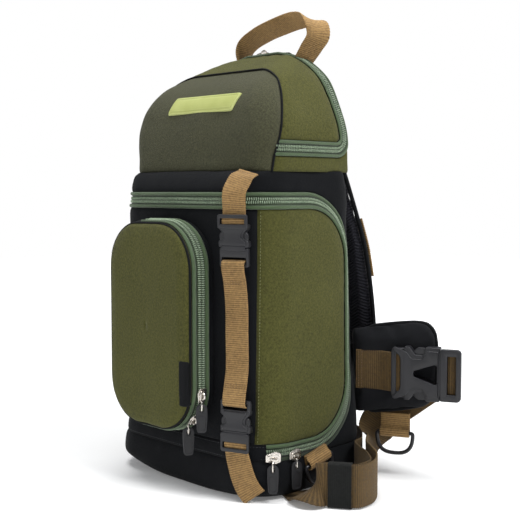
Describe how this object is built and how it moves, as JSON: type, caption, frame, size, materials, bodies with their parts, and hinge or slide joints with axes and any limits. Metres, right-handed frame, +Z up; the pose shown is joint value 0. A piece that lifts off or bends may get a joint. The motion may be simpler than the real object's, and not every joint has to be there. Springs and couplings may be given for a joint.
{
  "type": "fishing tackle sling bag",
  "caption": "Upright padded sling bag with a zipped clamshell body, domed hood, front pocket, buckled compression strap, waist belt with D-rings and a carrying handle.",
  "frame": {"origin": "middle of the main body's plan, on the flat underside that rests on the floor", "axes": "+Z up, X across the bag with +X the side of the compression strap, -Y the bag's front, +Y the back that is worn against the body"},
  "size_m": [0.3853, 0.2715, 0.4771],
  "materials": {
    "black_fabric": "matt black woven polyester",
    "olive_fabric": "heathered olive polyester",
    "mesh_panel": "dark olive canvas",
    "zip_tape": "green coil zip on green tape",
    "tan_webbing": "tan ribbed webbing",
    "black_mesh": "black padded spacer mesh",
    "black_webbing": "black ribbed webbing",
    "black_elastic": "black elastic",
    "black_plastic": "moulded acetal, fine matt grain",
    "slider_metal": "nickel-plated die casting",
    "pull_rubber": "moulded black rubber",
    "badge_rubber": "pale yellow-green moulded patch, bare"
  },
  "bodies": {
    "bag": {"back_frame": "black_fabric", "base_tub": "black_fabric", "belt_buckle_catch": "black_plastic", "belt_buckle_socket": "black_plastic", "belt_ring_loop": "tan_webbing", "belt_strap": "tan_webbing", "belt_strap_rear": "tan_webbing", "belt_webbing": "tan_webbing", "belt_wing_left": "black_fabric", "belt_wing_right": "black_fabric", "flap_front": "black_fabric", "flap_hinge": "black_fabric", "flap_side_left": "olive_fabric", "flap_side_right": "olive_fabric", "front_strap_bottom": "tan_webbing", "front_strap_middle": "tan_webbing", "front_strap_top": "tan_webbing", "handle": "tan_webbing", "hood_back": "black_fabric", "hood_badge": "badge_rubber", "hood_front": "mesh_panel", "hood_lower_left": "olive_fabric", "hood_lower_right": "olive_fabric", "hood_slider": "slider_metal", "hood_upper": "olive_fabric", "hood_zip": "zip_tape", "lower_buckle_catch": "black_plastic", "lower_buckle_socket": "black_plastic", "main_pull_1": "pull_rubber", "main_pull_2": "pull_rubber", "main_slider_1": "slider_metal", "main_slider_2": "slider_metal", "main_zip": "zip_tape", "pocket_face": "olive_fabric", "pocket_gusset": "black_fabric", "pocket_pull_1": "pull_rubber", "pocket_pull_2": "pull_rubber", "pocket_slider_1": "slider_metal", "pocket_slider_2": "slider_metal", "pocket_tab": "black_fabric", "pocket_zip": "zip_tape", "shoulder_lower_webbing": "black_webbing", "shoulder_strap": "black_mesh", "shoulder_strap_trim": "tan_webbing", "side_ring_loop": "tan_webbing", "strap_keeper": "black_elastic", "upper_buckle_catch": "black_plastic", "upper_buckle_socket": "black_plastic"},
    "side_d_ring": {"side_ring": "black_plastic"},
    "belt_d_ring": {"belt_ring": "black_plastic"}
  },
  "joints": [
    {"name": "side_ring_swing", "type": "hinge", "parent": "bag", "child": "side_d_ring", "pos_m": [0.11815, -0.006, 0.032], "axis": [0, -0.9703, -0.2419], "range_deg": [0, 75]},
    {"name": "belt_ring_swing", "type": "hinge", "parent": "bag", "child": "belt_d_ring", "pos_m": [0.13535, 0.09148, 0.04501], "axis": [-0.9063, -0.4226, 0], "range_deg": [0, 75]}
  ]
}
